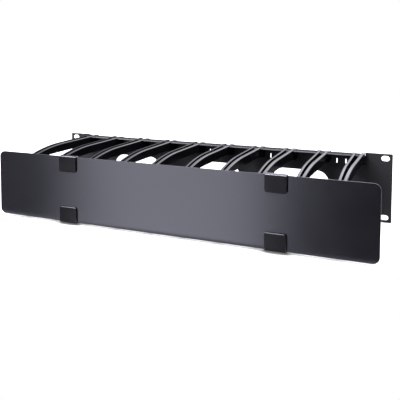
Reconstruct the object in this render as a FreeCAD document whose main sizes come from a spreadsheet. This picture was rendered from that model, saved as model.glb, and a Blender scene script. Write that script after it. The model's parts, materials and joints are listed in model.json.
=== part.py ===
import FreeCAD, Part
import math
import os
import Sketcher

# Horizontal cable manager, two rack units tall, for one side of a 19-inch rack.
# A folded steel panel bolts to the rack. Two rows of moulded fingers reach forward from its
# flanges, and a flat cover hangs in front of them on two hinge pins and snaps on two more below.
#
# Frame: X to the right, Y from front to back, Z up, in millimetres. The origin is the centre of the
# four rack slots, on the panel's rear face, which seats on the rack's rails.

doc = FreeCAD.newDocument("CableManager")
sheet = doc.addObject("Spreadsheet::Sheet", "Sizes")

driving = [
    # panel: the 19-inch, two-unit rack panel
    ("panel_width", 482.6),
    ("panel_height", 88.1),
    ("sheet_thickness", 1.5),
    ("bend_radius", 1.0),            # inside radius of the two folds
    ("ear_width", 33.0),             # flat rack ear, from the panel's end to the bend relief
    ("ear_corner_radius", 1.5),
    ("relief_width", 1.5),
    ("relief_depth", 3.5),           # the relief's depth below the flange's outer face
    ("flange_drop", 1.3),            # the flange's outer face below the ear's edge
    ("flange_depth", 16.0),          # in front of the panel's front face
    ("flange_corner_radius", 2.0),
    ("flange_edge_rounding", 0.4),   # the flanges' front edges
    ("rack_slot_inset", 8.75),       # from the panel's end to the slot's middle
    ("rack_spacing_z", 76.2),
    ("rack_slot_length", 10.2),
    ("rack_slot_height", 6.8),
    ("pass_hole_length", 76.0),
    ("pass_hole_height", 31.5),
    ("pass_hole_pitch", 124.0),
    ("tie_slot_width", 1.5),
    ("tie_slot_height", 6.2),
    ("tie_slot_spacing", 11.4),      # between the two slots of one cable tie
    ("tie_slot_level", 31.2),        # from the panel's middle to the slots' middle
    # fingers
    ("finger_inset", 41.275),        # from the panel's end to the outermost finger's middle
    ("finger_width", 13.7),          # at the panel
    ("finger_tip_width", 9.6),       # at the hinge pin
    ("finger_depth", 11.3),          # from the finger's top to its underside
    ("jaw_thickness", 0.8),          # the two prongs that lie on the flange
    ("crown_start", 85.0),           # where the top starts to fall away, from the panel's face
    ("crown_radius", 286.0),
    ("channel_floor", 2.0),          # the wall left under the finger's channel
    ("channel_end", 148.0),
    ("rail_width", 3.5),             # the walls at the channel's sides
    ("rail_rounding", 1.4),          # their outer upper edges
    ("root_width", 17.5),
    ("root_depth", 14.0),
    ("root_flare", 5.0),             # how far the root tapers to the finger's width
    ("root_height", 13.6),
    ("root_rounding", 0.6),          # the flared root's upper edges
    ("flange_fit", 0.1),             # clearance round the flange and the panel's windows
    ("hook_width", 8.0),
    ("hook_thickness", 3.4),
    ("hook_barb", 1.1),
    ("hook_barb_length", 1.6),
    # hinge pins
    ("pin_diameter", 4.0),
    ("pin_reach", 152.5),            # from the panel's front face to the pin's axis
    ("pin_drop", 10.8),              # the pin's axis below the finger's top
    ("pin_fit", 0.05),               # radial clearance in the finger
    ("pin_chamfer", 0.4),
    ("knuckle_radius", 4.8),
    # cover
    ("cover_width", 482.6),
    ("cover_height", 83.2),
    ("cover_thickness", 1.5),
    ("cover_standoff", 164.0),       # from the panel's front face to the cover's front face
    ("cover_corner_radius", 7.5),
    ("cover_edge_rounding", 0.35),
    # clips that hold the cover on the pins
    ("clip_width", 25.0),
    ("clip_reach", 19.6),            # the front pad's length from the cover's edge
    ("clip_pad_thickness", 2.5),
    ("clip_edge_wall", 1.0),         # over the cover's edge
    ("clip_leg_thickness", 2.0),     # behind the cover
    ("clip_corner_radius", 3.0),
    ("clip_rounding", 0.8),
    ("clip_shoulder", 2.2),          # the pad's outer long edge
    ("lug_radius", 4.4),
    ("lug_width", 6.0),
    ("lug_fit", 0.1),                # radial running clearance on the pin
    ("lug_lip", 1.5),                # the jaws reach this far behind the pin's axis
]
for row, (alias, number) in enumerate(driving, start=1):
    sheet.set(f"A{row}", alias)
    sheet.set(f"B{row}", str(number))
    sheet.setAlias(f"B{row}", alias)
doc.recompute()

finger_count = 10
tie_pair_count = 5
clip_gap_index = 2                   # the cover's clips sit in the second gap from each end


def cell(alias):
    return f"Sizes.{alias}"


def value(expression):
    return float(sheet.evalExpression(expression))


# places that several pieces share, worked out from the driving sizes
thickness = cell("sheet_thickness")
flange_top = "(Sizes.panel_height / 2 - Sizes.flange_drop)"
flange_under = f"({flange_top} - {thickness})"
flange_end = "(Sizes.panel_width / 2 - Sizes.ear_width - Sizes.relief_width)"
ear_start = "(Sizes.panel_width / 2 - Sizes.ear_width)"
finger_top = f"({flange_top} + Sizes.flange_fit + Sizes.jaw_thickness)"
finger_under = f"({finger_top} - Sizes.finger_depth)"
hook_top = f"({finger_under} + Sizes.hook_thickness)"
pin_level = f"({finger_top} - Sizes.pin_drop)"
cover_front = "(-Sizes.cover_standoff)"
cover_rear = "(Sizes.cover_thickness - Sizes.cover_standoff)"
cover_top = "(Sizes.cover_height / 2)"
lug_bore = "(Sizes.pin_diameter / 2 + Sizes.lug_fit)"
finger_pitch = f"((Sizes.panel_width - 2 * Sizes.finger_inset) / {finger_count - 1})"
over = "1"                           # how far a cutter starts outside what it cuts


def new_body(label):
    body = doc.addObject("PartDesign::Body", label)
    body.Label = label
    return body


def new_sketch(body, plane, name):
    sketch = body.newObject("Sketcher::SketchObject", name)
    support = next(item for item in body.Origin.OriginFeatures if item.Role == plane)
    sketch.AttachmentSupport = [(support, "")]
    sketch.MapMode = "FlatFace"
    return sketch


def fix_point(sketch, geometry, position, across, up):
    for kind, expression in (("DistanceX", across), ("DistanceY", up)):
        link = Sketcher.Constraint(kind, -1, 1, geometry, position, value(expression))
        sketch.setExpression(f"Constraints[{sketch.addConstraint(link)}]", expression)


def fix_radius(sketch, geometry, radius):
    index = sketch.addConstraint(Sketcher.Constraint("Radius", geometry, value(radius)))
    sketch.setExpression(f"Constraints[{index}]", radius)


def at(across, up):
    return FreeCAD.Vector(value(across), value(up), 0)


def draw_outline(sketch, corners):
    first = sketch.GeometryCount
    count = len(corners)
    for index, corner in enumerate(corners):
        following = corners[(index + 1) % count]
        sketch.addGeometry(Part.LineSegment(at(*corner), at(*following)))
    for index, corner in enumerate(corners):
        after = first + (index + 1) % count
        sketch.addConstraint(Sketcher.Constraint("Coincident", first + index, 2, after, 1))
        fix_point(sketch, first + index, 1, *corner)


def draw_rectangle(sketch, low_across, low_up, high_across, high_up):
    draw_outline(sketch, [(low_across, low_up), (high_across, low_up),
                          (high_across, high_up), (low_across, high_up)])


def draw_circle(sketch, across, up, radius):
    circle = Part.Circle(at(across, up), FreeCAD.Vector(0, 0, 1), value(radius))
    geometry = sketch.addGeometry(circle)
    fix_point(sketch, geometry, 3, across, up)
    fix_radius(sketch, geometry, radius)


def draw_obround(sketch, across, up, length, height):
    # two half circles joined by two tangent lines
    quarter = math.pi / 2
    radius = f"({height} / 2)"
    left = f"({across} - ({length} - {height}) / 2)"
    right = f"({across} + ({length} - {height}) / 2)"
    normal = FreeCAD.Vector(0, 0, 1)
    rise = FreeCAD.Vector(0, value(radius), 0)
    left_arc = sketch.addGeometry(Part.ArcOfCircle(
        Part.Circle(at(left, up), normal, value(radius)), quarter, 3 * quarter))
    right_arc = sketch.addGeometry(Part.ArcOfCircle(
        Part.Circle(at(right, up), normal, value(radius)), -quarter, quarter))
    top = sketch.addGeometry(Part.LineSegment(at(left, up) + rise, at(right, up) + rise))
    bottom = sketch.addGeometry(Part.LineSegment(at(left, up) - rise, at(right, up) - rise))
    for arc, end, line, line_end in ((left_arc, 1, top, 1), (left_arc, 2, bottom, 1),
                                     (right_arc, 2, top, 2), (right_arc, 1, bottom, 2)):
        sketch.addConstraint(Sketcher.Constraint("Tangent", arc, end, line, line_end))
    sketch.addConstraint(Sketcher.Constraint("Equal", left_arc, right_arc))
    fix_point(sketch, left_arc, 3, left, up)
    fix_point(sketch, right_arc, 3, right, up)
    fix_radius(sketch, left_arc, radius)


def fall(run, radius):
    # how far an arc has left its tangent after a run along it
    return radius - (radius ** 2 - run ** 2) ** 0.5


def draw_crowned_outline(sketch, rear, front, closing):
    # the finger's top, level from the rear to the crown's start and then a tangent arc that falls
    # away to the front, closed by straight sides along closing
    start, level, radius = "(-Sizes.crown_start)", finger_top, cell("crown_radius")
    run = value(start) - value(front)
    nose_point = FreeCAD.Vector(value(front), value(level) - fall(run, value(radius)), 0)
    half_way = FreeCAD.Vector(value(start) - run / 2, value(level) - fall(run / 2, value(radius)), 0)
    straight = sketch.addGeometry(Part.LineSegment(at(rear, level), at(start, level)))
    arc = sketch.addGeometry(Part.Arc(at(start, level), half_way, nose_point))
    nose = sketch.addGeometry(Part.LineSegment(nose_point, at(front, closing)))
    lid = sketch.addGeometry(Part.LineSegment(at(front, closing), at(rear, closing)))
    back = sketch.addGeometry(Part.LineSegment(at(rear, closing), at(rear, level)))
    # the sketcher may store the arc from either end
    arc_at_start = 1 if near(sketch.getPoint(arc, 1).distanceToPoint(at(start, level)), 0) else 2
    sketch.addConstraint(Sketcher.Constraint("Tangent", arc, arc_at_start, straight, 2))
    sketch.addConstraint(Sketcher.Constraint("Coincident", arc, 3 - arc_at_start, nose, 1))
    for line, following in ((nose, lid), (lid, back), (back, straight)):
        sketch.addConstraint(Sketcher.Constraint("Coincident", line, 2, following, 1))
    sketch.addConstraint(Sketcher.Constraint("Vertical", nose))
    fix_point(sketch, straight, 1, rear, level)
    fix_point(sketch, straight, 2, start, level)
    fix_point(sketch, lid, 1, front, closing)
    fix_point(sketch, lid, 2, rear, closing)
    fix_radius(sketch, arc, radius)


def extrude(body, kind, name, sketch, length, symmetric=False, reversed_way=False):
    feature = body.newObject(f"PartDesign::{kind}", name)
    feature.Profile = sketch
    feature.SideType = "Symmetric" if symmetric else "One side"
    feature.Reversed = reversed_way
    feature.setExpression("Length", length)
    sketch.Visibility = False
    doc.recompute()
    return feature


def find_edges(feature, test):
    return [f"Edge{number}" for number, edge in enumerate(feature.Shape.Edges, start=1) if test(edge)]


def runs_along(edge, direction):
    if not isinstance(edge.Curve, Part.Line):
        return False
    return abs(abs(edge.Curve.Direction.dot(direction)) - 1) < 1e-6


def middle(edge):
    return edge.valueAt((edge.FirstParameter + edge.LastParameter) / 2)


def near(first, second):
    return abs(first - second) < 0.01


def dress(body, kind, name, edges, size):
    base = body.Tip
    assert edges, f"{body.Label}: no edges for {name}"
    feature = body.newObject(f"PartDesign::{kind}", name)
    feature.Base = (base, edges)
    feature.setExpression("Radius" if kind == "Fillet" else "Size", size)
    doc.recompute()
    return feature


def repeat(body, name, features, length, count):
    pattern = body.newObject("PartDesign::LinearPattern", name)
    pattern.Originals = features
    axis = next(item for item in body.Origin.OriginFeatures if item.Role == "X_Axis")
    pattern.Direction = (axis, [""])
    pattern.setExpression("Length", length)
    pattern.Occurrences = count
    body.Tip = pattern
    doc.recompute()
    return pattern


along_x = FreeCAD.Vector(1, 0, 0)
along_y = FreeCAD.Vector(0, 1, 0)
along_z = FreeCAD.Vector(0, 0, 1)


def make_panel():
    body = new_body("back_panel")
    sheet_half = "(Sizes.panel_width / 2)"
    ear_half = "(Sizes.panel_height / 2)"
    relief_foot = f"({flange_top} - Sizes.relief_depth)"
    corners = []
    for across, up in ((1, -1), (1, 1), (-1, 1), (-1, -1)):
        quarter = [(sheet_half, ear_half), (ear_start, ear_half), (ear_start, relief_foot),
                   (flange_end, relief_foot), (flange_end, flange_top)]
        if across * up < 0:
            quarter.reverse()
        corners += [(f"{across} * {x}", f"{up} * {z}") for x, z in quarter]
    blank = new_sketch(body, "XZ_Plane", "blank")
    draw_outline(blank, corners)
    extrude(body, "Pad", "sheet_metal", blank, thickness)

    folds = new_sketch(body, "XZ_Plane", "flange_section")
    for low, high in ((flange_under, flange_top), (f"-{flange_top}", f"-{flange_under}")):
        draw_rectangle(folds, f"-{flange_end}", low, flange_end, high)
    extrude(body, "Pad", "flanges", folds, f"{thickness} + Sizes.flange_depth")

    inside = find_edges(body.Tip, lambda edge: runs_along(edge, along_x)
                        and near(middle(edge).y, -value(thickness))
                        and near(abs(middle(edge).z), value(flange_under)))
    dress(body, "Fillet", "inner_bends", inside, cell("bend_radius"))
    outside = find_edges(body.Tip, lambda edge: runs_along(edge, along_x)
                         and near(middle(edge).y, 0)
                         and near(abs(middle(edge).z), value(flange_top)))
    dress(body, "Fillet", "outer_bends", outside, f"Sizes.bend_radius + {thickness}")
    front = -value(f"{thickness} + Sizes.flange_depth")
    ends = find_edges(body.Tip, lambda edge: runs_along(edge, along_z) and near(middle(edge).y, front))
    dress(body, "Fillet", "flange_corners", ends, cell("flange_corner_radius"))
    lips = find_edges(body.Tip, lambda edge: runs_along(edge, along_x) and near(middle(edge).y, front))
    dress(body, "Fillet", "flange_edges", lips, cell("flange_edge_rounding"))
    tips = find_edges(body.Tip, lambda edge: runs_along(edge, along_y)
                      and near(abs(middle(edge).x), value(sheet_half))
                      and near(abs(middle(edge).z), value(ear_half)))
    dress(body, "Fillet", "ear_corners", tips, cell("ear_corner_radius"))

    holes = new_sketch(body, "XZ_Plane", "holes")
    for place in (-1, 0, 1):
        draw_obround(holes, f"({place} * Sizes.pass_hole_pitch)", "0",
                     cell("pass_hole_length"), cell("pass_hole_height"))
    for across in (-1, 1):
        for up in (-1, 1):
            draw_obround(holes, f"({across} * (Sizes.panel_width / 2 - Sizes.rack_slot_inset))",
                         f"({up} * Sizes.rack_spacing_z / 2)",
                         cell("rack_slot_length"), cell("rack_slot_height"))
    extrude(body, "Pocket", "pass_through_holes_and_rack_slots", holes, thickness, reversed_way=True)

    # one pair of tie slots above and one below, in every second gap between the fingers
    ties = new_sketch(body, "XZ_Plane", "tie_slots")
    first_pair = f"(-{tie_pair_count - 1} * {finger_pitch})"
    for side in (-1, 1):
        for up in (-1, 1):
            centre = f"({first_pair} + {side} * Sizes.tie_slot_spacing / 2)"
            level = f"({up} * Sizes.tie_slot_level)"
            draw_rectangle(ties, f"{centre} - Sizes.tie_slot_width / 2",
                           f"{level} - Sizes.tie_slot_height / 2",
                           f"{centre} + Sizes.tie_slot_width / 2",
                           f"{level} + Sizes.tie_slot_height / 2")
    cut = extrude(body, "Pocket", "first_tie_slots", ties, thickness, reversed_way=True)
    repeat(body, "tie_slot_row", [cut], f"{2 * (tie_pair_count - 1)} * {finger_pitch}",
           tie_pair_count)

    # a window for each finger's hook
    windows = new_sketch(body, "XZ_Plane", "hook_windows")
    first_finger = f"(-{finger_count - 1} * {finger_pitch} / 2)"
    half_window = "(Sizes.hook_width / 2 + Sizes.flange_fit)"
    low = f"({finger_under} - Sizes.flange_fit)"
    high = f"({hook_top} + Sizes.flange_fit)"
    for bottom, top in ((low, high), (f"-{high}", f"-{low}")):
        draw_rectangle(windows, f"{first_finger} - {half_window}", bottom,
                       f"{first_finger} + {half_window}", top)
    cut = extrude(body, "Pocket", "first_hook_windows", windows, thickness, reversed_way=True)
    repeat(body, "hook_window_row", [cut], f"{finger_count - 1} * {finger_pitch}", finger_count)
    return body


def half_width(y):
    # the finger narrows evenly from the panel to the hinge pin
    return (f"((Sizes.finger_width + (Sizes.finger_width - Sizes.finger_tip_width)"
            f" * {y} / Sizes.pin_reach) / 2)")


def draw_tapered_plan(sketch, rear, front, inset):
    # the finger's plan between two places along it, with inset taken off each side
    half_rear = f"({half_width(rear)} - {inset})"
    half_front = f"({half_width(front)} - {inset})"
    draw_outline(sketch, [(f"-{half_rear}", rear), (f"-{half_front}", front),
                          (half_front, front), (half_rear, rear)])


def lies_on_crown(edge):
    run = max(0, -middle(edge).y - value("Sizes.crown_start"))
    return near(middle(edge).z, value(finger_top) - fall(run, value("Sizes.crown_radius")))


def make_finger(label, across, upper):
    # drawn for the upper row with Y 0 at the panel's front face; the lower row is the same piece
    # turned over about Y
    body = new_body(label)
    rear = "(-Sizes.flange_fit)"
    reach = "(-Sizes.pin_reach)"
    blade = new_sketch(body, "XY_Plane", "blade_plan")
    blade.setExpression("AttachmentOffset.Base.z", finger_under)
    draw_tapered_plan(blade, rear, reach, "0")
    extrude(body, "Pad", "blade", blade, f"Sizes.finger_depth + {over}")
    crown = new_sketch(body, "YZ_Plane", "crown_side")
    draw_crowned_outline(crown, over, f"({reach} - {over})", f"({finger_top} + 2 * {over})")
    extrude(body, "Pocket", "crown", crown, f"Sizes.finger_width + {over}", symmetric=True)
    long_edges = find_edges(body.Tip, lambda edge: lies_on_crown(edge)
                            and edge.Length > value("Sizes.crown_start / 2"))
    dress(body, "Fillet", "rail_edges", long_edges, cell("rail_rounding"))

    tip = new_sketch(body, "YZ_Plane", "knuckle_side")
    draw_circle(tip, reach, pin_level, cell("knuckle_radius"))
    extrude(body, "Pad", "knuckle", tip, cell("finger_tip_width"), symmetric=True)

    root = new_sketch(body, "XY_Plane", "root_plan")
    root.setExpression("AttachmentOffset.Base.z", f"{finger_top} - Sizes.root_height")
    flare_start = "(Sizes.root_flare - Sizes.root_depth)"
    root_end = "(-Sizes.root_depth)"
    root_nose = half_width(root_end)
    draw_outline(root, [("-Sizes.root_width / 2", rear), ("-Sizes.root_width / 2", flare_start),
                        (f"-{root_nose}", root_end), (root_nose, root_end),
                        ("Sizes.root_width / 2", flare_start), ("Sizes.root_width / 2", rear)])
    extrude(body, "Pad", "root", root, cell("root_height"))
    rims = find_edges(body.Tip, lambda edge: near(middle(edge).z, value(finger_top))
                      and abs(middle(edge).x) > value(half_width(root_end)))
    dress(body, "Fillet", "root_edges", rims, cell("root_rounding"))

    channel = new_sketch(body, "XY_Plane", "channel_plan")
    channel.setExpression("AttachmentOffset.Base.z", finger_top)
    draw_tapered_plan(channel, over, "(-Sizes.channel_end)", cell("rail_width"))
    extrude(body, "Pocket", "channel", channel, "Sizes.finger_depth - Sizes.channel_floor")

    slot = new_sketch(body, "YZ_Plane", "flange_slot_side")
    draw_rectangle(slot, "-Sizes.flange_depth - Sizes.flange_fit",
                   f"{flange_under} - Sizes.flange_fit", over, f"{flange_top} + Sizes.flange_fit")
    extrude(body, "Pocket", "flange_slot", slot, f"Sizes.root_width + {over}", symmetric=True)
    # room for the inside of the panel's fold
    corner = new_sketch(body, "YZ_Plane", "fold_relief_side")
    draw_outline(corner, [(over, f"{flange_under} - Sizes.flange_fit - Sizes.bend_radius - {over}"),
                          (over, flange_under),
                          (f"-Sizes.bend_radius - {over}", flange_under)])
    extrude(body, "Pocket", "fold_relief", corner, f"Sizes.root_width + {over}", symmetric=True)

    hook = new_sketch(body, "YZ_Plane", "hook_side")
    behind = f"({thickness} + Sizes.flange_fit)"
    hook_end = f"({behind} + Sizes.hook_barb_length)"
    draw_outline(hook, [(f"{rear} - {over}", finger_under), (hook_end, finger_under),
                        (hook_end, hook_top), (behind, f"{hook_top} + Sizes.hook_barb"),
                        (behind, hook_top), (f"{rear} - {over}", hook_top)])
    extrude(body, "Pad", "hook", hook, cell("hook_width"), symmetric=True)

    bore = new_sketch(body, "YZ_Plane", "pin_bore_side")
    draw_circle(bore, reach, pin_level, "Sizes.pin_diameter / 2 + Sizes.pin_fit")
    extrude(body, "Pocket", "pin_bore", bore, f"Sizes.finger_width + {over}", symmetric=True)

    turn = FreeCAD.Rotation(along_y, 0 if upper else 180)
    body.Placement = FreeCAD.Placement(FreeCAD.Vector(0, 0, 0), turn)
    body.setExpression("Placement.Base.x", across)
    body.setExpression("Placement.Base.y", f"-{thickness}")
    return body


def make_pin(label, across, up):
    body = new_body(label)
    section = new_sketch(body, "YZ_Plane", "pin_section")
    draw_circle(section, "0", "0", "Sizes.pin_diameter / 2")
    pad = extrude(body, "Pad", "shank", section, f"{finger_pitch} + Sizes.finger_tip_width",
                  symmetric=True)
    dress(body, "Chamfer", "pin_ends", find_edges(pad, lambda edge: edge.Closed), cell("pin_chamfer"))
    body.setExpression("Placement.Base.x", across)
    body.setExpression("Placement.Base.y", f"-{thickness} - Sizes.pin_reach")
    body.setExpression("Placement.Base.z", f"{up} * {pin_level}")
    return body


def make_cover():
    body = new_body("cover_plate")
    blank = new_sketch(body, "XZ_Plane", "blank")
    draw_rectangle(blank, "-Sizes.cover_width / 2", "-Sizes.cover_height / 2",
                   "Sizes.cover_width / 2", "Sizes.cover_height / 2")
    pad = extrude(body, "Pad", "plate", blank, cell("cover_thickness"))
    corners = find_edges(pad, lambda edge: runs_along(edge, along_y))
    dress(body, "Fillet", "corners", corners, cell("cover_corner_radius"))
    rims = find_edges(body.Tip, lambda edge: not runs_along(edge, along_y))
    dress(body, "Fillet", "rims", rims, cell("cover_edge_rounding"))
    body.setExpression("Placement.Base.y", f"-{thickness} + {cover_rear}")
    return body


def make_clip(label, across, upper):
    # drawn for the cover's upper edge with Y 0 at the panel's front face, and turned over below
    body = new_body(label)
    pad_front = f"({cover_front} - Sizes.clip_pad_thickness)"
    leg_rear = f"({cover_rear} + Sizes.clip_leg_thickness)"
    clip_top = f"({cover_top} + Sizes.clip_edge_wall)"
    pad_foot = f"({cover_top} - Sizes.clip_reach)"
    lug_low = f"({pin_level} - Sizes.lug_radius)"
    lug_high = f"({pin_level} + Sizes.lug_radius)"
    axis_y = "(-Sizes.pin_reach)"

    side = new_sketch(body, "YZ_Plane", "clip_side")
    draw_outline(side, [(pad_front, pad_foot), (pad_front, clip_top), (leg_rear, clip_top),
                        (leg_rear, lug_low), (cover_rear, lug_low), (cover_rear, cover_top),
                        (cover_front, cover_top), (cover_front, pad_foot)])
    extrude(body, "Pad", "saddle", side, cell("clip_width"), symmetric=True)
    front_corners = find_edges(body.Tip, lambda edge: runs_along(edge, along_y)
                               and near(abs(middle(edge).x), value("Sizes.clip_width / 2"))
                               and near(middle(edge).z, value(pad_foot)))
    dress(body, "Fillet", "pad_corners", front_corners, cell("clip_corner_radius"))
    shoulder = find_edges(body.Tip, lambda edge: near(middle(edge).y, value(pad_front))
                          and near(middle(edge).z, value(clip_top)))
    dress(body, "Fillet", "pad_shoulder", shoulder, cell("clip_shoulder"))
    flat_top = f"({clip_top} - Sizes.clip_shoulder)"
    rim = find_edges(body.Tip, lambda edge: near(middle(edge).y, value(pad_front))
                     and not near(middle(edge).z, value(flat_top)))
    dress(body, "Fillet", "pad_rim", rim, cell("clip_rounding"))

    lug = new_sketch(body, "YZ_Plane", "lug_side")
    draw_rectangle(lug, f"{cover_rear} + Sizes.clip_leg_thickness / 2", lug_low,
                   f"{axis_y} + Sizes.lug_lip", lug_high)
    extrude(body, "Pad", "lug", lug, cell("clip_width"), symmetric=True)
    nose = find_edges(body.Tip, lambda edge: runs_along(edge, along_x)
                      and near(middle(edge).y, value(f"{axis_y} + Sizes.lug_lip")))
    dress(body, "Fillet", "lug_nose", nose, "Sizes.clip_rounding")

    gap = new_sketch(body, "YZ_Plane", "lug_gap_side")
    draw_rectangle(gap, leg_rear, f"{lug_low} - {over}", f"{axis_y} + Sizes.lug_lip + {over}",
                   f"{lug_high} + {over}")
    extrude(body, "Pocket", "lug_gap", gap, "Sizes.clip_width - 2 * Sizes.lug_width", symmetric=True)

    seat = new_sketch(body, "YZ_Plane", "pin_seat_side")
    draw_circle(seat, axis_y, pin_level, lug_bore)
    extrude(body, "Pocket", "pin_seat", seat, f"Sizes.clip_width + {over}", symmetric=True)
    mouth = new_sketch(body, "YZ_Plane", "mouth_side")
    draw_rectangle(mouth, axis_y, f"{pin_level} - {lug_bore}",
                   f"{axis_y} + Sizes.lug_lip + {over}", f"{pin_level} + {lug_bore}")
    extrude(body, "Pocket", "mouth", mouth, f"Sizes.clip_width + {over}", symmetric=True)

    turn = FreeCAD.Rotation(along_y, 0 if upper else 180)
    body.Placement = FreeCAD.Placement(FreeCAD.Vector(0, 0, 0), turn)
    body.setExpression("Placement.Base.x", across)
    body.setExpression("Placement.Base.y", f"-{thickness}")
    return body


parts = [make_panel()]
for row, upper in (("upper", True), ("lower", False)):
    for number in range(finger_count):
        place = f"({number - (finger_count - 1) / 2} * {finger_pitch})"
        parts.append(make_finger(f"finger_{row}_{number + 1:02d}", place, upper))
clip_place = f"({finger_count / 2 - clip_gap_index} * {finger_pitch})"
for row, up in (("upper", 1), ("lower", -1)):
    for side, across in (("left", -1), ("right", 1)):
        place = f"{across} * {clip_place}"
        parts.append(make_pin(f"hinge_pin_{row}_{side}", place, up))
        parts.append(make_clip(f"cover_clip_{row}_{side}", place, up > 0))
parts.append(make_cover())

doc.recompute()
for item in doc.Objects:
    if "Invalid" in item.State or "Error" in item.State:
        raise RuntimeError(f"{item.Label} failed: {item.State}")
for part in parts:
    if part.Shape.isNull() or not part.Shape.isValid() or len(part.Shape.Solids) != 1:
        raise RuntimeError(f"{part.Label} isn't one valid solid")

os.makedirs("parts", exist_ok=True)
for part in parts:
    part.Shape.exportStep(os.path.join("parts", f"{part.Label}.step"))
    print(part.Label, round(part.Shape.Volume, 1))
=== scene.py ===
import json
import math
import bpy
import numpy as np
from mathutils import Euler, Matrix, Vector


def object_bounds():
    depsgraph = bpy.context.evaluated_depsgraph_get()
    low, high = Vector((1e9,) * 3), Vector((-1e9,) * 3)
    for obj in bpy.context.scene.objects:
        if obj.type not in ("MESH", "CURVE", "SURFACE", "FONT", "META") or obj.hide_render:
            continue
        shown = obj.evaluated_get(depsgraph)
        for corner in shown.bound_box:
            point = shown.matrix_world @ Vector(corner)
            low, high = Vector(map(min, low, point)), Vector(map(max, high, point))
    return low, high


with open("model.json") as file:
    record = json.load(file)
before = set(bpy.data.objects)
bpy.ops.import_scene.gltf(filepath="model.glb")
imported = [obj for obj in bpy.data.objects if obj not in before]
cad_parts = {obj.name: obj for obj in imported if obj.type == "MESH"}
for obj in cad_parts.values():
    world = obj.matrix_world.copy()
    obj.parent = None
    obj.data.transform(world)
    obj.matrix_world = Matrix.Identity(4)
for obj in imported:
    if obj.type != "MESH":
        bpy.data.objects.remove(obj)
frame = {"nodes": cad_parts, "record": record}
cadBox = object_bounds()
print("frame loaded:", len(frame["nodes"]), "nodes")

# Rack cable manager: a folded panel, moulded fingers and a flat cover that hinges up.
# Metres, X to the right, Y to the back of the rack, Z up.


def gridMesh(name, points):
    # points[i, j] is a surface over two parameters; neighbouring points join into quads
    rows, columns = points.shape[:2]
    index = np.arange(rows * columns).reshape(rows, columns)
    corners = (index[:-1, :-1], index[1:, :-1], index[1:, 1:], index[:-1, 1:])
    quads = np.stack(corners, axis=-1).reshape(-1, 4)
    mesh = bpy.data.meshes.new(name)
    mesh.from_pydata(points.reshape(-1, 3), [], quads)
    mesh.update()
    return mesh


def addPiece(name, mesh, material):
    piece = bpy.data.objects.new(name, mesh)
    bpy.context.scene.collection.objects.link(piece)
    mesh.materials.append(material)
    return piece


# node trees: a value given to addNode that is a socket becomes a link
def addNode(tree, kind, inputs=None, **settings):
    node = tree.nodes.new("ShaderNode" + kind)
    for key, value in settings.items():
        setattr(node, key, value)
    for key, value in (inputs or {}).items():
        if isinstance(value, bpy.types.NodeSocket):
            tree.links.new(value, node.inputs[key])
        else:
            node.inputs[key].default_value = value
    return node


def mathNode(tree, operation, first, second=0.0):
    return addNode(tree, "Math", {0: first, 1: second}, operation=operation).outputs[0]


def remap(tree, value, fromLow, fromHigh, toLow=0.0, toHigh=1.0):
    # an S-shaped step from toLow to toHigh as the value goes from fromLow to fromHigh
    sockets = {"Value": value, "From Min": fromLow, "From Max": fromHigh, "To Min": toLow, "To Max": toHigh}
    return addNode(tree, "MapRange", sockets, interpolation_type="SMOOTHSTEP").outputs["Result"]


def blendColors(tree, amount, first, second):
    factor, colorA, colorB, colorOut = 0, 6, 7, 2    # where the Mix node keeps its colour sockets
    sockets = {factor: amount, colorA: first, colorB: second}
    return addNode(tree, "Mix", sockets, data_type="RGBA").outputs[colorOut]


def newGroup(name, inputs, outputs):
    group = bpy.data.node_groups.new(name, "ShaderNodeTree")
    for label, value in inputs.items():
        socket = group.interface.new_socket(label, in_out="INPUT", socket_type="NodeSocketFloat")
        socket.default_value = value
    for label, kind in outputs.items():
        group.interface.new_socket(label, in_out="OUTPUT", socket_type=kind)
    return group, group.nodes.new("NodeGroupInput").outputs, group.nodes.new("NodeGroupOutput").inputs


def useGroup(tree, group, **values):
    node = tree.nodes.new("ShaderNodeGroup")
    node.node_tree = group
    for label, value in values.items():
        node.inputs[label].default_value = value
    return node.outputs


powderTexture = {
    "sockets": {"peelScale": 700.0, "grainScale": 3500.0, "grainShare": 0.4},
    "peelDetail": 1.0, "grainDetail": 2.0, "speckleEdge": (0.55, 0.72),
}


def powderTextureGroup():
    # two noises added: broad orange peel, and fine grain; the speckle is the grain's peaks alone
    outputs = {"Height": "NodeSocketFloat", "Speckle": "NodeSocketFloat"}
    group, given, result = newGroup("powderTexture", powderTexture["sockets"], outputs)
    place = addNode(group, "TexCoord").outputs["Object"]
    peelInputs = {"Vector": place, "Scale": given["peelScale"], "Detail": powderTexture["peelDetail"]}
    peel = addNode(group, "TexNoise", peelInputs).outputs["Fac"]
    grainInputs = {"Vector": place, "Scale": given["grainScale"], "Detail": powderTexture["grainDetail"]}
    grain = addNode(group, "TexNoise", grainInputs).outputs["Fac"]
    height = mathNode(group, "ADD", peel, mathNode(group, "MULTIPLY", grain, given["grainShare"]))
    group.links.new(height, result["Height"])
    group.links.new(remap(group, grain, *powderTexture["speckleEdge"]), result["Speckle"])
    return group


softEdge = {"sockets": {"Radius": 0.0004}, "bevelSamples": 6, "turnEdge": (0.01, 0.2)}


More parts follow.
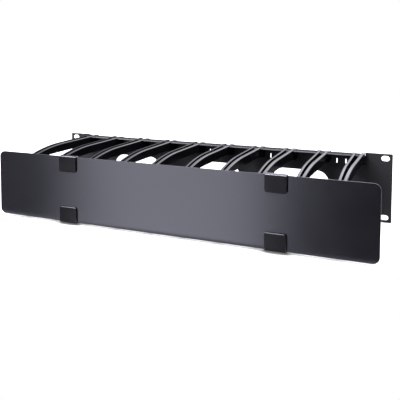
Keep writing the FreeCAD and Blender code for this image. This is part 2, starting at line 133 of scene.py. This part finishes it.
def softEdgeGroup():
    # a rounded normal near sharp edges; the mask is how far that normal turns from the face's own
    outputs = {"Normal": "NodeSocketVector", "Mask": "NodeSocketFloat"}
    group, given, result = newGroup("softEdge", softEdge["sockets"], outputs)
    bevel = addNode(group, "Bevel", {"Radius": given["Radius"]}, samples=softEdge["bevelSamples"])
    rounded = bevel.outputs["Normal"]
    flat = addNode(group, "NewGeometry").outputs["True Normal"]
    facing = addNode(group, "VectorMath", {0: rounded, 1: flat}, operation="DOT_PRODUCT").outputs["Value"]
    turned = mathNode(group, "SUBTRACT", 1.0, facing)
    group.links.new(rounded, result["Normal"])
    group.links.new(remap(group, turned, *softEdge["turnEdge"]), result["Mask"])
    return group


slowCloud = {"sockets": {"Scale": 18.0}, "detail": 3.0, "maskEdge": (0.3, 0.7)}


def slowCloudGroup():
    # one noise, spread to the full range: slow unevenness over the surface, for colour and roughness
    group, given, result = newGroup("slowCloud", slowCloud["sockets"], {"Mask": "NodeSocketFloat"})
    place = addNode(group, "TexCoord").outputs["Object"]
    noiseInputs = {"Vector": place, "Scale": given["Scale"], "Detail": slowCloud["detail"]}
    noise = addNode(group, "TexNoise", noiseInputs).outputs["Fac"]
    group.links.new(remap(group, noise, *slowCloud["maskEdge"]), result["Mask"])
    return group


groups = {"powder": powderTextureGroup(), "edge": softEdgeGroup(), "cloud": slowCloudGroup()}


def newMaterial(name):
    material = bpy.data.materials.new(name)
    material.use_nodes = True
    tree = material.node_tree
    tree.nodes.clear()
    shader = addNode(tree, "BsdfPrincipled")
    addNode(tree, "OutputMaterial", {"Surface": shader.outputs["BSDF"]})
    return material, tree, shader


def placeEffects(tree, shader, look):
    # the three groups with the look's numbers: the colour and roughness follow the cloud, and the
    # powder's height is the bump on top of the rounded edges; gives back what the coats blend
    powder = useGroup(tree, groups["powder"], peelScale=look["peelScale"], grainScale=look["grainScale"])
    edge = useGroup(tree, groups["edge"], Radius=look["edgeRadius"])
    cloud = useGroup(tree, groups["cloud"], Scale=look["cloudScale"])
    rough = remap(tree, cloud["Mask"], 0.0, 1.0, look["roughLow"], look["roughHigh"])
    tree.links.new(rough, shader.inputs["Roughness"])
    bump = addNode(tree, "Bump", {"Height": powder["Height"], "Normal": edge["Normal"],
                                  "Strength": look["bump"], "Distance": look["bumpDepth"]})
    tree.links.new(bump.outputs["Normal"], shader.inputs["Normal"])
    shader.inputs["Specular IOR Level"].default_value = look["specular"]
    shader.inputs["Specular Tint"].default_value = look["sheen"]
    clouded = blendColors(tree, cloud["Mask"], look["dark"], look["light"])
    # painted highlight: edges lighten towards the edge highlight colour by the edge mask times the look's
    # edge share
    edgeHighlight = mathNode(tree, "MULTIPLY", edge["Mask"], look["edge"])
    return {"clouded": clouded, "speckle": powder["Speckle"], "edgeHighlight": edgeHighlight}


def coatedSteel(name, look):
    # powder coat: dark colour with faint clouds, lighter speckle, edges lightened as a painted highlight,
    # orange-peel bump;
    # where the look has a lip, a painted highlight: the colour goes to the lighter lip colour as Y falls from
    # the first to the second number
    material, tree, shader = newMaterial(name)
    base = placeEffects(tree, shader, look)
    speckle = mathNode(tree, "MULTIPLY", base["speckle"], look["speckle"])
    speckled = blendColors(tree, speckle, base["clouded"], look["speckleColor"])
    color = blendColors(tree, base["edgeHighlight"], speckled, look["edgeHighlightColor"])
    # painted highlight: the flange's front lip is lightened over a band of Y
    if "lip" in look:
        place = addNode(tree, "TexCoord").outputs["Object"]
        depth = addNode(tree, "SeparateXYZ", {0: place}).outputs["Y"]
        color = blendColors(tree, remap(tree, depth, *look["lip"]), color, look["lipHighlightColor"])
    tree.links.new(color, shader.inputs["Base Color"])
    return material


# lengths are in metres; speckle says how far the colour goes to the speckle colour, and edge how far edges go
# to the painted edge highlight colour
panelLook = {
    "dark": (0.025, 0.025, 0.029, 1), "light": (0.032, 0.032, 0.036, 1),
    "speckle": 0.25, "speckleColor": (0.05, 0.05, 0.055, 1),
    "edge": 1.0, "edgeHighlightColor": (0.45, 0.45, 0.48, 1), "edgeRadius": 0.0007,
    "cloudScale": 14.0, "peelScale": 650.0, "grainScale": 3200.0,
    "bump": 0.25, "bumpDepth": 0.0002,
    "roughLow": 0.62, "roughHigh": 0.72, "specular": 0.01, "sheen": (0.86, 0.86, 1.0, 1),
    # painted highlight on the flange's front lip, over this band of Y
    "lip": (-0.0160, -0.0172), "lipHighlightColor": (0.16, 0.16, 0.175, 1),
}
coverLook = {
    "dark": (0.006, 0.006, 0.0085, 1), "light": (0.009, 0.009, 0.0115, 1),
    "speckle": 0.2, "speckleColor": (0.04, 0.04, 0.05, 1),
    "edge": 0.1, "edgeHighlightColor": (0.05, 0.05, 0.058, 1), "edgeRadius": 0.0003,
    "cloudScale": 9.0, "peelScale": 800.0, "grainScale": 4200.0,
    "bump": 0.2, "bumpDepth": 0.00015,
    "roughLow": 0.215, "roughHigh": 0.24, "specular": 0.5, "sheen": (0.82, 0.82, 1.0, 1),
}


def mouldedPlastic(name, look):
    # moulded plastic: fine spark texture as bump, edges lightened as a painted highlight, slow change of
    # sheen;
    # the shine goes from the look's own value to its shade-axis value as the surface turns to that axis, and
    # is multiplied by a share that falls where the surface is shut in: both are painted shade, darkening
    # those faces and the hollows
    material, tree, shader = newMaterial(name)
    base = placeEffects(tree, shader, look)
    color = blendColors(tree, base["edgeHighlight"], base["clouded"], look["edgeHighlightColor"])
    tree.links.new(color, shader.inputs["Base Color"])
    # painted shade: hollows lose most of their shine so they read darker
    reach = {"Distance": look["hollowReach"]}
    openness = addNode(tree, "AmbientOcclusion", reach, samples=look["hollowSamples"]).outputs["AO"]
    share = remap(tree, openness, *look["hollowEdge"], look["hollowShine"], 1.0)
    # painted shade: faces turned to the shade axis lose their shine so they read darker
    normal = addNode(tree, "TexCoord").outputs["Normal"]
    along = addNode(tree, "SeparateXYZ", {0: normal}).outputs[look["shadeAxis"]]
    facing = mathNode(tree, "ABSOLUTE", along)
    turned = remap(tree, facing, *look["shadeAxisEdge"], look["specular"], look["shadeAxisShine"])
    tree.links.new(mathNode(tree, "MULTIPLY", share, turned), shader.inputs["Specular IOR Level"])
    return material


fingerLook = {
    "dark": (0.004, 0.004, 0.005, 1), "light": (0.006, 0.006, 0.007, 1),
    "edge": 0.4, "edgeHighlightColor": (0.02, 0.02, 0.023, 1), "edgeRadius": 0.0004,
    "cloudScale": 40.0, "peelScale": 900.0, "grainScale": 5000.0,
    "bump": 0.12, "bumpDepth": 0.0001,
    "roughLow": 0.15, "roughHigh": 0.19, "specular": 0.3, "sheen": (0.88, 0.88, 1.0, 1),
    "shadeAxis": "X", "shadeAxisEdge": (0.8, 0.97), "shadeAxisShine": 0.003,
    "hollowReach": 0.006, "hollowEdge": (0.5, 0.95), "hollowShine": 0.05, "hollowSamples": 8,
}
clipLook = {
    "dark": (0.008, 0.008, 0.010, 1), "light": (0.011, 0.011, 0.013, 1),
    "edge": 0.4, "edgeHighlightColor": (0.05, 0.05, 0.057, 1), "edgeRadius": 0.0004,
    "cloudScale": 60.0, "peelScale": 1400.0, "grainScale": 6000.0,
    "bump": 0.3, "bumpDepth": 0.0001,
    "roughLow": 0.15, "roughHigh": 0.19, "specular": 1.0, "sheen": (0.84, 0.84, 1.0, 1),
    "shadeAxis": "Y", "shadeAxisEdge": (0.85, 0.97), "shadeAxisShine": 0.08,
    "hollowReach": 0.002, "hollowEdge": (0.2, 0.5), "hollowShine": 0.3, "hollowSamples": 8,
}


def pinSteel(name, look):
    # drawn steel: fine lines round the pin come from a noise squeezed along X
    material, tree, shader = newMaterial(name)
    place = addNode(tree, "TexCoord").outputs["Object"]
    squeezed = addNode(tree, "Mapping", {"Vector": place, "Scale": look["lineScale"]}).outputs["Vector"]
    noiseInputs = {"Vector": squeezed, "Scale": 1.0, "Detail": look["lineDetail"]}
    lines = addNode(tree, "TexNoise", noiseInputs).outputs["Fac"]
    tree.links.new(blendColors(tree, lines, look["dark"], look["light"]), shader.inputs["Base Color"])
    rough = remap(tree, lines, *look["lineEdge"], look["roughLow"], look["roughHigh"])
    tree.links.new(rough, shader.inputs["Roughness"])
    bump = addNode(tree, "Bump", {"Height": lines, "Strength": look["bump"], "Distance": look["bumpDepth"]})
    tree.links.new(bump.outputs["Normal"], shader.inputs["Normal"])
    shader.inputs["Metallic"].default_value = 1.0
    return material


pinLook = {
    "dark": (0.32, 0.32, 0.33, 1), "light": (0.55, 0.55, 0.56, 1),
    "lineScale": (9000.0, 120.0, 120.0), "lineDetail": 2.0, "lineEdge": (0.3, 0.7),
    "roughLow": 0.22, "roughHigh": 0.38, "bump": 0.2, "bumpDepth": 0.00005,
}

finishes = {
    "panel_steel": coatedSteel("panelCoat", panelLook),
    "cover_steel": coatedSteel("coverCoat", coverLook),
    "finger_plastic": mouldedPlastic("fingerPlastic", fingerLook),
    "clip_plastic": mouldedPlastic("clipPlastic", clipLook),
    "pin_steel": pinSteel("pinSteel", pinLook),
}
for part in frame["record"]["subparts"]:
    node = frame["nodes"][part["node"]]
    node.data.materials.clear()
    node.data.materials.append(finishes[part["material_slot"]])
print("finishes on", len(frame["nodes"]), "nodes")

# studio: pale table top, soft lamps, white surroundings
table = {
    "front": -0.18, "back": 1.6, "halfWidth": 1.6, "color": (0.86, 0.86, 0.86), "lift": 0.65,
    "contactReach": 0.0085, "contactEdge": (0.5, 1.0), "contactShade": 0.2, "contactSamples": 16,
}


def tableMaterial():
    # a pale matt surface, darker where the part shuts it in; a glow for the camera alone, shaded the
    # same way, lifts the rest to white
    material = bpy.data.materials.new("paleTable")
    material.use_nodes = True
    tree = material.node_tree
    tree.nodes.clear()
    reach = {"Distance": table["contactReach"]}
    openness = addNode(tree, "AmbientOcclusion", reach, samples=table["contactSamples"]).outputs["AO"]
    shade = remap(tree, openness, *table["contactEdge"], table["contactShade"], 1.0)
    color = addNode(tree, "VectorMath", {0: table["color"], "Scale": shade}, operation="SCALE").outputs[0]
    matt = addNode(tree, "BsdfDiffuse", {"Color": color}).outputs[0]
    seen = addNode(tree, "LightPath").outputs["Is Camera Ray"]
    strength = mathNode(tree, "MULTIPLY", mathNode(tree, "MULTIPLY", seen, shade), table["lift"])
    lift = addNode(tree, "Emission", {"Strength": strength}).outputs[0]
    both = addNode(tree, "AddShader", {0: matt, 1: lift}).outputs[0]
    addNode(tree, "OutputMaterial", {"Surface": both})
    return material


def makeTable():
    # a flat rectangle: X runs across, Y runs back, and Z is the height of the part's lowest corner
    across = np.array([-table["halfWidth"], table["halfWidth"]])
    along = np.array([table["front"], table["back"]])
    x, y = np.meshgrid(across, along, indexing="ij")
    points = np.stack([x, y, np.full_like(x, cadBox[0].z)], axis=-1)
    addPiece("table", gridMesh("table", points), tableMaterial())


surroundings = {
    "frontGlow": 0.02, "backGlow": 5.2, "glowTint": (0.93, 0.93, 1.0, 1), "backEdge": (-0.1, 0.7),
    "leftEdge": (-0.6, 0.0), "leftShare": 0.12,
    "highEdge": (0.6, 0.95), "highShare": 0.7,
    "lowEdge": (0.15, 0.55), "lowShare": 0.25,
}


def makeWorld():
    # white to the camera; as light, bright halfway up behind the part, dimmer to the left, overhead and
    # near the table: the shares are multiplied, and the faint front glow is added all round
    world = bpy.data.worlds.new("studio")
    bpy.context.scene.world = world
    world.use_nodes = True
    tree = world.node_tree
    tree.nodes.clear()
    direction = addNode(tree, "TexCoord").outputs["Generated"]
    axes = addNode(tree, "SeparateXYZ", {0: direction}).outputs
    back = remap(tree, axes["Y"], *surroundings["backEdge"], 0.0, surroundings["backGlow"])
    left = remap(tree, axes["X"], *surroundings["leftEdge"], surroundings["leftShare"], 1.0)
    high = remap(tree, axes["Z"], *surroundings["highEdge"], 1.0, surroundings["highShare"])
    low = remap(tree, axes["Z"], *surroundings["lowEdge"], surroundings["lowShare"], 1.0)
    level = mathNode(tree, "MULTIPLY", low, high)
    product = mathNode(tree, "MULTIPLY", mathNode(tree, "MULTIPLY", back, left), level)
    glow = mathNode(tree, "ADD", product, surroundings["frontGlow"])
    lit = addNode(tree, "Background", {"Color": surroundings["glowTint"], "Strength": glow}).outputs[0]
    white = addNode(tree, "Background", {"Color": (1, 1, 1, 1), "Strength": 1.0}).outputs[0]
    seen = addNode(tree, "LightPath").outputs["Is Camera Ray"]
    both = addNode(tree, "MixShader", {0: seen, 1: lit, 2: white}).outputs[0]
    addNode(tree, "OutputWorld", {"Surface": both})


lamps = {
    "frontKey": {
        "place": (-0.57, -1.44, 0.05), "aim": (0.0, -0.165, 0.0), "width": 0.70, "height": 1.9, "watts": 21.0,
    },
    "sideKey": {
        "place": (-1.17, -1.30, 0.36), "aim": (-0.1, -0.165, 0.36), "width": 0.6, "height": 1.3, "watts": 0.5,
    },
    "topSoft": {
        "place": (-0.45, -0.60, 1.10), "aim": (-0.1, -0.1, 0.0), "width": 1.2, "height": 0.4, "watts": 34.0,
    },
}


def makeLamp(name, lamp):
    # a rectangle at its place, turned by yaw and pitch to face its aim, and hidden from the camera
    light = bpy.data.lights.new(name, "AREA")
    light.shape = "RECTANGLE"
    light.size, light.size_y = lamp["width"], lamp["height"]
    light.energy = lamp["watts"]
    holder = bpy.data.objects.new(name, light)
    bpy.context.scene.collection.objects.link(holder)
    holder.location = lamp["place"]
    toward = np.array(lamp["aim"]) - np.array(lamp["place"])
    yaw = math.atan2(-toward[0], toward[1])
    pitch = math.atan2(toward[2], math.hypot(toward[0], toward[1]))
    holder.rotation_euler = (math.pi / 2 + pitch, 0, yaw)
    holder.visible_camera = False


# from the front right and a little above; angles in degrees, lens and sensor in millimetres
view = {
    "place": (0.2873, -0.7619, 0.1742), "turnLeft": 22.92, "lookDown": 3.90, "roll": 0.10,
    "lens": 51.74, "sensorWidth": 36.0, "shiftAcross": 0.02, "shiftUp": -0.275,
}


def makeCamera():
    camera = bpy.data.cameras.new("camera")
    camera.lens = view["lens"]
    camera.sensor_width = view["sensorWidth"]
    camera.shift_x, camera.shift_y = view["shiftAcross"], view["shiftUp"]
    holder = bpy.data.objects.new("camera", camera)
    bpy.context.scene.collection.objects.link(holder)
    turn = Euler((math.radians(90 - view["lookDown"]), 0, math.radians(view["turnLeft"]))).to_matrix()
    holder.rotation_euler = (turn @ Matrix.Rotation(math.radians(view["roll"]), 3, "Z")).to_euler()
    holder.location = view["place"]
    bpy.context.scene.camera = holder


makeTable()
makeWorld()
for lampName, lampValues in lamps.items():
    makeLamp(lampName, lampValues)
makeCamera()
bpy.context.scene.view_settings.view_transform = "Standard"
print("studio ready:", len(lamps), "lamps")
